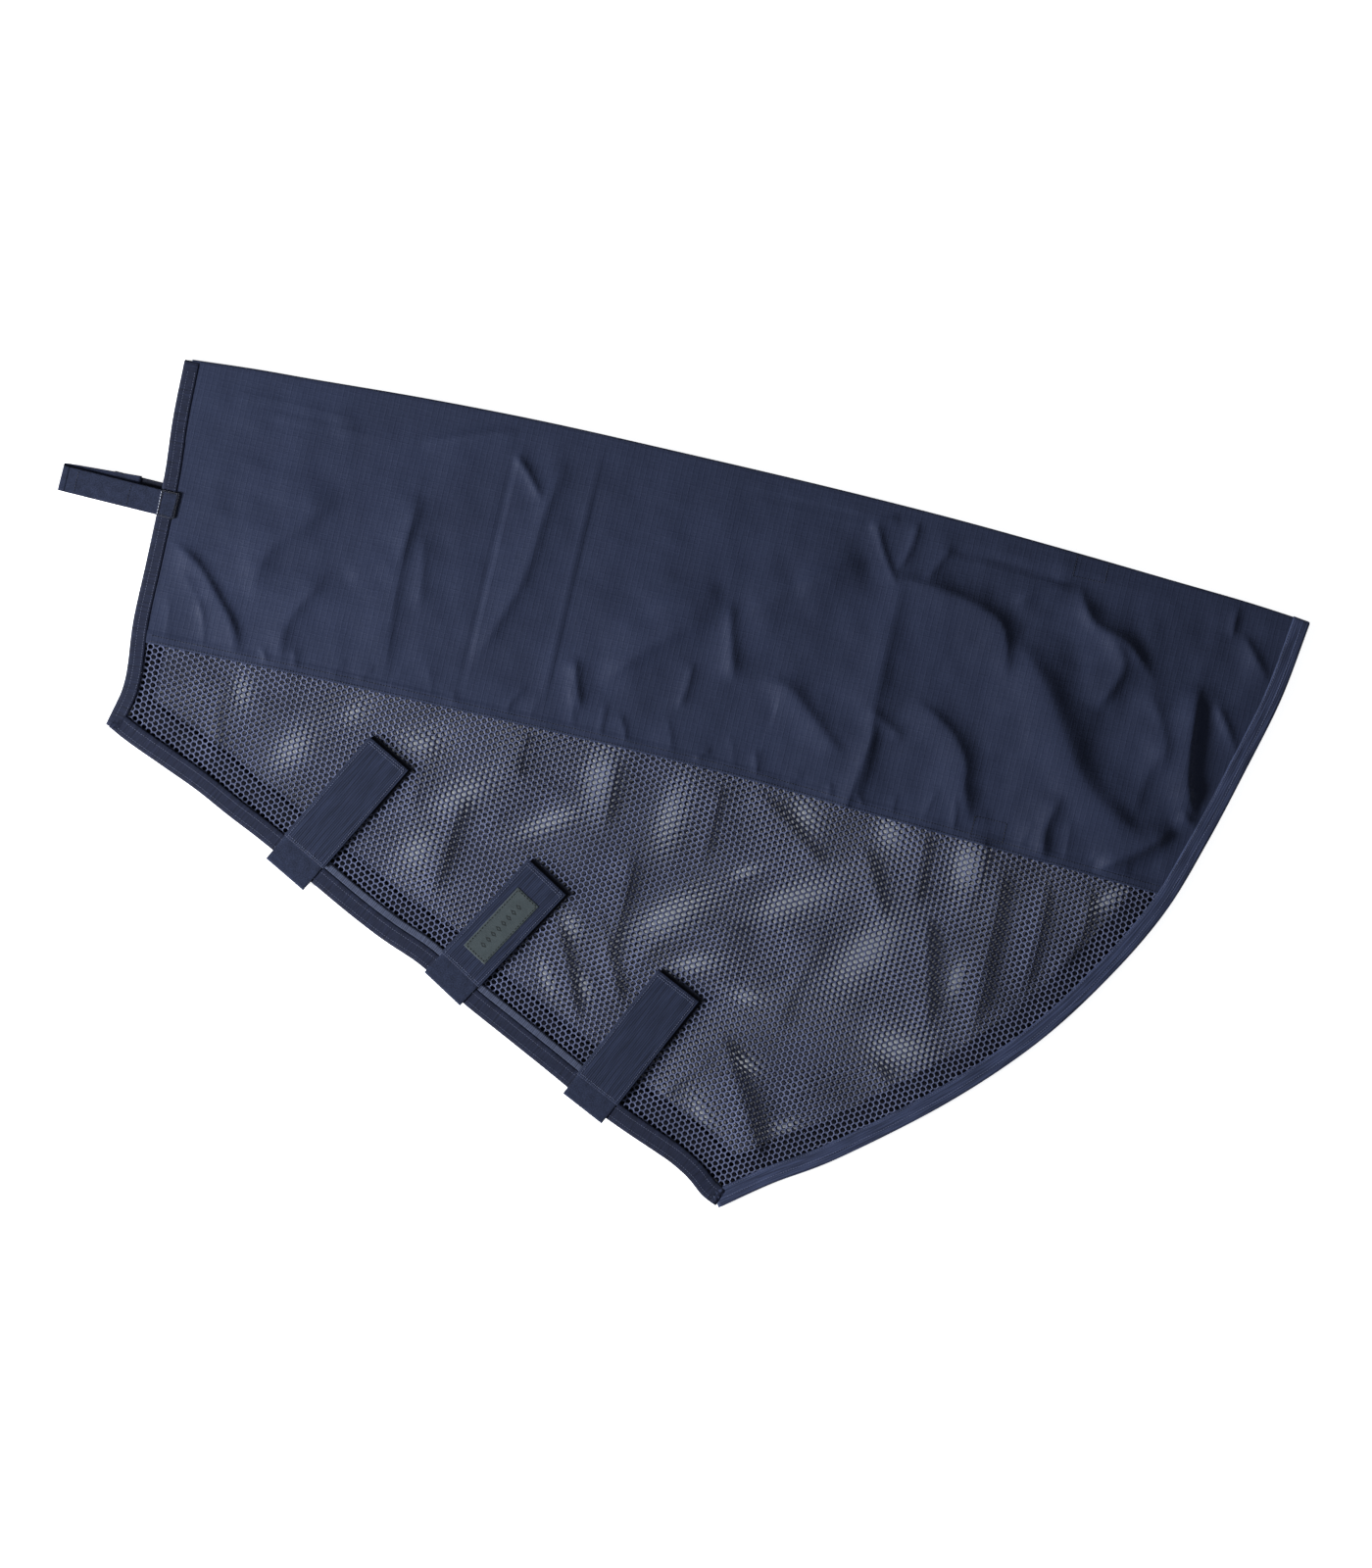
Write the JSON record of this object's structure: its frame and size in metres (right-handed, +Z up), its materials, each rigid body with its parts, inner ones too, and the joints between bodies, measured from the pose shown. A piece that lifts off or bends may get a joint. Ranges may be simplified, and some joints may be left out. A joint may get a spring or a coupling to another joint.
{
  "type": "horse rug neck cover",
  "caption": "Neck cover of a light turnout rug, folded flat at the crest: cloth crest panel, hexagonal net below, bound edges, closing straps and a headcollar loop.",
  "frame": {"origin": "on the floor under the middle of the folded cover", "axes": "+X along the crest from the poll to the withers, +Y from the throat to the crest, +Z up through the layers from the far half to the near half"},
  "size_m": [1.2739, 0.7283, 0.0095],
  "materials": {
    "crest_cloth": "navy ripstop polyester, softly creased",
    "hexagonal_net": "navy hexagonal warp-knit polyester net",
    "binding_tape": "navy ribbed binding tape with two stitch rows",
    "loop_tape": "navy napped loop tape",
    "hook_tape": "navy hook tape",
    "strap_cover": "navy smooth ribbed webbing with a stitched border",
    "label_cloth": "grey-green woven label, plain pattern"
  },
  "bodies": {
    "far_half": {"crest_panel_far": "crest_cloth", "mesh_panel_far": "hexagonal_net", "seam_hem_far": "crest_cloth", "poll_binding_far": "binding_tape", "throat_binding_far": "binding_tape", "shoulder_binding_far": "binding_tape", "crest_tab_far": "loop_tape", "side_tab_far": "loop_tape", "landing_patch_far_1": "loop_tape", "landing_patch_far_2": "loop_tape", "landing_patch_far_3": "loop_tape"},
    "near_half": {"crest_panel_near": "crest_cloth", "mesh_panel_near": "hexagonal_net", "seam_hem_near": "crest_cloth", "poll_binding_near": "binding_tape", "throat_binding_near": "binding_tape", "shoulder_binding_near": "binding_tape", "crest_tab_near": "loop_tape", "side_tab_near": "loop_tape", "loop_root_tab": "loop_tape", "loop_lower_tab": "loop_tape", "landing_patch_near_1": "loop_tape", "landing_patch_near_2": "loop_tape", "landing_patch_near_3": "loop_tape", "strap_root_1": "loop_tape", "strap_root_2": "loop_tape", "strap_root_3": "loop_tape"},
    "closing_strap_1": {"strap_tape_1": "loop_tape", "hook_tape_1": "hook_tape", "strap_cover_1": "strap_cover"},
    "closing_strap_2": {"strap_tape_2": "loop_tape", "hook_tape_2": "hook_tape", "strap_cover_2": "strap_cover", "label_patch": "label_cloth"},
    "closing_strap_3": {"strap_tape_3": "loop_tape", "hook_tape_3": "hook_tape", "strap_cover_3": "strap_cover"},
    "headcollar_loop": {"loop_tape": "loop_tape"},
    "headcollar_loop_end": {"loop_return_tape": "loop_tape"}
  },
  "joints": [
    {"name": "crest_fold", "type": "hinge", "parent": "far_half", "child": "near_half", "pos_m": [0, 0.3645, 0.0031], "axis": [-1, 0, 0], "range_deg": [0, 175]},
    {"name": "strap_1_swing", "type": "hinge", "parent": "near_half", "child": "closing_strap_1", "pos_m": [-0.32113, -0.13189, 0.005], "axis": [0.9047, -0.426, 0], "range_deg": [0, 180]},
    {"name": "strap_2_swing", "type": "hinge", "parent": "near_half", "child": "closing_strap_2", "pos_m": [-0.14109, -0.21665, 0.005], "axis": [0.9047, -0.426, 0], "range_deg": [0, 180]},
    {"name": "strap_3_swing", "type": "hinge", "parent": "near_half", "child": "closing_strap_3", "pos_m": [0.029, -0.29674, 0.005], "axis": [0.9047, -0.426, 0], "range_deg": [0, 180]},
    {"name": "headcollar_loop_swing", "type": "hinge", "parent": "near_half", "child": "headcollar_loop", "pos_m": [-0.535, 0.2065, 0.0076], "axis": [0, 1, 0], "range_deg": [0, 160]},
    {"name": "headcollar_loop_opening", "type": "hinge", "parent": "headcollar_loop", "child": "headcollar_loop_end", "pos_m": [-0.637, 0.2065, 0.00555], "axis": [0, 1, 0], "range_deg": [0, 175]}
  ]
}
